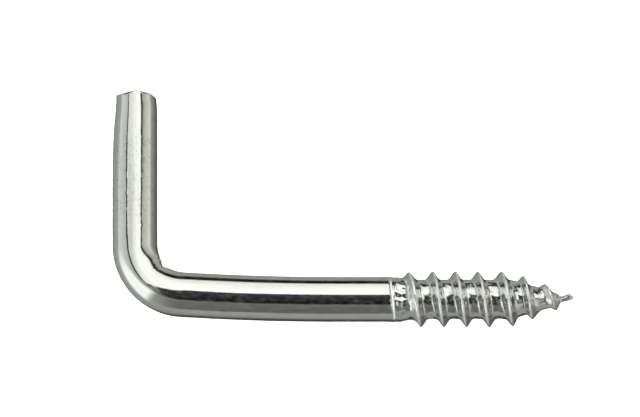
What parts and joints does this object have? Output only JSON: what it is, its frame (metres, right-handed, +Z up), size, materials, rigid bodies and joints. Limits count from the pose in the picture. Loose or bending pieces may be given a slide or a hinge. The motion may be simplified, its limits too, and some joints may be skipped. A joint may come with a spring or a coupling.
{
  "type": "screw hook",
  "caption": "Square-bend screw hook: a plain wire arm, a rounded corner and a straight shank with a coarse wood-screw thread and a gimlet point.",
  "frame": {"origin": "on the screw's axis, where the plain shank ends and the thread starts", "axes": "+X along the screw's axis towards its point, +Y along the arm towards its free end, +Z up: the hook lies flat on its side"},
  "size_m": [0.05, 0.0257, 0.006],
  "materials": {
    "zinc_plate": "bright zinc plate on steel"
  },
  "bodies": {
    "root": {"screw_hook": "zinc_plate"}
  },
  "joints": []
}
